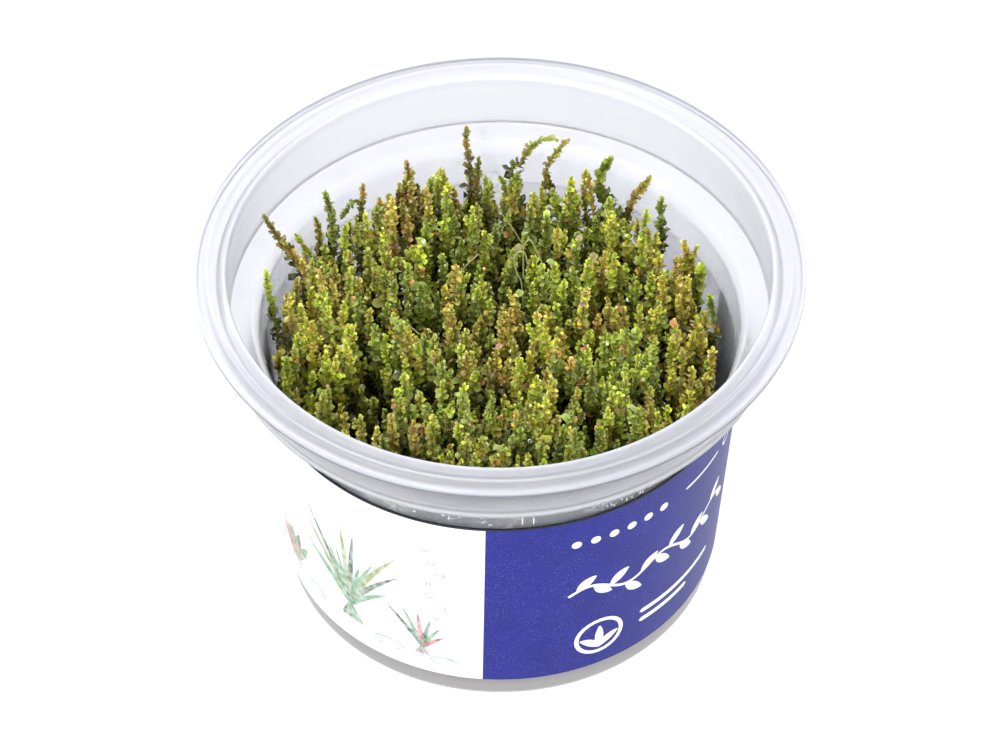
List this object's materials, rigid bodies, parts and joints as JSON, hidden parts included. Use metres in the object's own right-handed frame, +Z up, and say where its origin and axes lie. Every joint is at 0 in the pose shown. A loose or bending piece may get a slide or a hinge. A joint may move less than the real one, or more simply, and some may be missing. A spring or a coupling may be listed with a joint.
{
  "type": "potted pearl rotala",
  "caption": "Round stepped plastic cup with a printed wrap label, a bed of nutrient gel and a dense clump of small-leaved upright aquarium plantlets standing in it.",
  "frame": {"origin": "centre of the cup's foot, on the surface that it stands on", "axes": "+Z up the cup's axis, -Y towards the front, where the label's colour changes, +X to the right"},
  "size_m": [0.1, 0.1, 0.0665],
  "materials": {
    "cup": "translucent moulded polypropylene, finely frosted on the collar and flange",
    "label": "satin printed film, white with a blue panel",
    "gel": "clear wet gel",
    "plant": "moist yellow-green leaves with reddish undersides and older leaves"
  },
  "bodies": {
    "root": {"cup": "cup", "nutrient_gel": "gel", "label": "label", "plantlet_01": "plant", "plantlet_02": "plant", "plantlet_03": "plant", "plantlet_04": "plant", "plantlet_05": "plant", "plantlet_06": "plant", "plantlet_07": "plant", "plantlet_08": "plant", "plantlet_09": "plant", "plantlet_10": "plant", "plantlet_11": "plant", "plantlet_12": "plant", "plantlet_13": "plant", "plantlet_14": "plant", "plantlet_15": "plant", "plantlet_16": "plant", "plantlet_17": "plant", "plantlet_18": "plant", "plantlet_19": "plant", "plantlet_20": "plant", "plantlet_21": "plant", "plantlet_22": "plant", "plantlet_23": "plant", "plantlet_24": "plant", "plantlet_25": "plant", "plantlet_26": "plant", "plantlet_27": "plant", "plantlet_28": "plant", "plantlet_29": "plant", "plantlet_30": "plant", "plantlet_31": "plant", "plantlet_32": "plant", "plantlet_33": "plant", "plantlet_34": "plant", "plantlet_35": "plant", "plantlet_36": "plant", "plantlet_37": "plant", "plantlet_38": "plant", "plantlet_39": "plant", "plantlet_40": "plant", "plantlet_41": "plant", "plantlet_42": "plant", "plantlet_43": "plant", "plantlet_44": "plant"}
  },
  "joints": []
}
